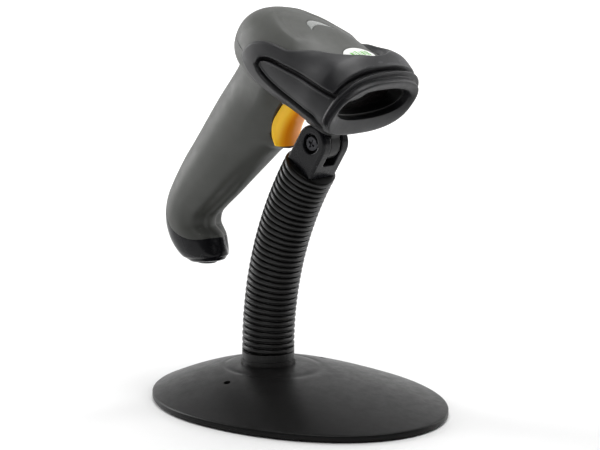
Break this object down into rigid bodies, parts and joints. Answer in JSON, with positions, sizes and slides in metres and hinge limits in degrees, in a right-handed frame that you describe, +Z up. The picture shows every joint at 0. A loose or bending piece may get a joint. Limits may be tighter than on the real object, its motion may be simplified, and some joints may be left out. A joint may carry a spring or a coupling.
{
  "type": "handheld barcode scanner on gooseneck stand",
  "caption": "Pistol-grip barcode scanner with a rubber nose bumper and pull trigger, held by a tilting saddle on a ribbed gooseneck with a domed oval base.",
  "frame": {"origin": "on the table, under the foot of the gooseneck, at the middle of the centre foot's bottom face", "axes": "+Z up, +X the way the scanner faces, XZ is the plane of symmetry"},
  "size_m": [0.1893, 0.1404, 0.2154],
  "materials": {
    "grey_shell": "soft-touch satin grey",
    "elastomer": "matt charcoal elastomer",
    "black_plastic": "satin black",
    "gloss_black": "glossy black",
    "window": "dark red-tinted glass",
    "lens": "clear light guide",
    "badge": "white enamel",
    "trigger_orange": "translucent orange",
    "sleeve_rubber": "matt black",
    "steel": "zinc plated",
    "dark_steel": "black oxide",
    "iron": "cast",
    "board": "green solder mask",
    "mirror": "front-silvered",
    "copper": "wound wire",
    "base_black": "fine satin texture",
    "foot_rubber": "matt"
  },
  "bodies": {
    "base": {"base_cover": "base_black", "base_plate": "base_black", "base_weight": "iron", "rubber_feet": "foot_rubber", "base_screws": "steel", "neck_foot": "sleeve_rubber", "stem_nut": "steel", "neck_sleeve_1": "sleeve_rubber", "neck_link_1": "steel"},
    "neck_2": {"neck_sleeve_2": "sleeve_rubber", "neck_link_2": "steel"},
    "neck_3": {"neck_sleeve_3": "sleeve_rubber", "neck_link_3": "steel"},
    "neck_4": {"neck_sleeve_4": "sleeve_rubber", "neck_link_4": "steel"},
    "neck_5": {"neck_sleeve_5": "sleeve_rubber", "neck_link_5": "steel"},
    "neck_6": {"neck_sleeve_6": "sleeve_rubber", "neck_link_6": "steel"},
    "neck_7": {"neck_sleeve_7": "sleeve_rubber", "neck_link_7": "steel"},
    "yoke": {"neck_sleeve_8": "sleeve_rubber", "neck_link_8": "steel", "top_collar": "black_plastic", "knuckle_fork": "gloss_black", "pivot_screw": "dark_steel", "pivot_nut": "dark_steel", "pivot_washers": "steel"},
    "holder": {"holder_saddle": "black_plastic", "saddle_pad": "foot_rubber"},
    "scanner": {"top_cover": "grey_shell", "handle_housing": "grey_shell", "nose_bumper": "elastomer", "window_frame": "black_plastic", "scan_window": "window", "badge_plate": "badge", "indicator_lens": "lens", "butt_cap": "gloss_black", "cable_socket": "black_plastic", "trigger_axle": "steel", "trigger_spring": "steel", "trigger_switch": "black_plastic", "main_board": "board", "beeper": "black_plastic", "handle_board": "board", "engine_chassis": "black_plastic", "laser_diode": "copper", "collector_mirror": "mirror", "photodetector": "black_plastic", "mirror_coil": "copper", "housing_screws": "steel"},
    "trigger": {"trigger": "trigger_orange"},
    "scan_mirror": {"scan_mirror": "mirror"}
  },
  "joints": [
    {"name": "neck_bend_1", "type": "hinge", "parent": "base", "child": "neck_2", "pos_m": [0.00049, 0, 0.03929], "axis": [0, 1, 0], "range_deg": [-3.5, 2.5]},
    {"name": "neck_bend_2", "type": "hinge", "parent": "neck_2", "child": "neck_3", "pos_m": [0.00196, 0, 0.05281], "axis": [0, 1, 0], "range_deg": [-3.5, 2.5]},
    {"name": "neck_bend_3", "type": "hinge", "parent": "neck_3", "child": "neck_4", "pos_m": [0.00439, 0, 0.06618], "axis": [0, 1, 0], "range_deg": [-3.5, 2.5]},
    {"name": "neck_bend_4", "type": "hinge", "parent": "neck_4", "child": "neck_5", "pos_m": [0.00778, 0, 0.07935], "axis": [0, 1, 0], "range_deg": [-3.5, 2.5]},
    {"name": "neck_bend_5", "type": "hinge", "parent": "neck_5", "child": "neck_6", "pos_m": [0.01211, 0, 0.09224], "axis": [0, 1, 0], "range_deg": [-3.5, 2.5]},
    {"name": "neck_bend_6", "type": "hinge", "parent": "neck_6", "child": "neck_7", "pos_m": [0.01735, 0, 0.10479], "axis": [0, 1, 0], "range_deg": [-3.5, 2.5]},
    {"name": "neck_bend_7", "type": "hinge", "parent": "neck_7", "child": "yoke", "pos_m": [0.02348, 0, 0.11692], "axis": [0, 1, 0], "range_deg": [-3.5, 2.5]},
    {"name": "holder_tilt", "type": "hinge", "parent": "yoke", "child": "holder", "pos_m": [0.04164, 0, 0.14577], "axis": [0, -1, 0], "range_deg": [-35, 2]},
    {"name": "scanner_lift", "type": "slide", "parent": "holder", "child": "scanner", "axis": [0.3746, 0, 0.9272], "range_m": [0, 0.15]},
    {"name": "trigger_pull", "type": "hinge", "parent": "scanner", "child": "trigger", "pos_m": [0.02372, 0, 0.16667], "axis": [0, 1, 0], "range_deg": [0, 7], "stiffness_Nm_per_rad": 0.25, "springref_deg": -6.88},
    {"name": "mirror_swing", "type": "hinge", "parent": "scanner", "child": "scan_mirror", "pos_m": [0.03194, -0.007, 0.18168], "axis": [0.3746, 0, 0.9272], "range_deg": [-12, 12], "stiffness_Nm_per_rad": 0.002}
  ],
  "couplings": [
    {"joint": "neck_bend_2", "follows": "neck_bend_1", "ratio": 1},
    {"joint": "neck_bend_3", "follows": "neck_bend_1", "ratio": 1},
    {"joint": "neck_bend_4", "follows": "neck_bend_1", "ratio": 1},
    {"joint": "neck_bend_5", "follows": "neck_bend_1", "ratio": 1},
    {"joint": "neck_bend_6", "follows": "neck_bend_1", "ratio": 1},
    {"joint": "neck_bend_7", "follows": "neck_bend_1", "ratio": 1}
  ]
}
